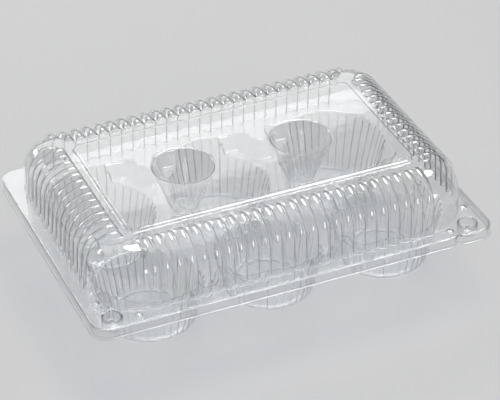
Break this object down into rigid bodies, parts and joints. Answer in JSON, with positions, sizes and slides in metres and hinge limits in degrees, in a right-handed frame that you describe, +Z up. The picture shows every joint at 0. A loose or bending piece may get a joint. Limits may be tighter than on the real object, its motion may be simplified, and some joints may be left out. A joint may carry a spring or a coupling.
{
  "type": "muffin container",
  "caption": "Clear thermoformed muffin container: a tray of fluted round cups with a flat rim, closed by a ribbed dome lid that turns on a moulded rear hinge and snaps at the front corners.",
  "frame": {"origin": "centre of the rim's plan, on the surface that the cup floors stand on", "axes": "+X along the long side to the right, +Y to the hinge side at the back, +Z up"},
  "size_m": [0.255, 0.1749, 0.0732],
  "materials": {
    "clear_tray": "clear, glossy, thermoformed sheet",
    "clear_lid": "clear, glossy, thermoformed sheet"
  },
  "bodies": {
    "tray": {"base_tray": "clear_tray"},
    "lid": {"lid": "clear_lid"}
  },
  "joints": [
    {"name": "lid_hinge", "type": "hinge", "parent": "tray", "child": "lid", "pos_m": [0, 0.0875, 0.0371], "axis": [-1, 0, 0], "range_deg": [0, 180]}
  ]
}
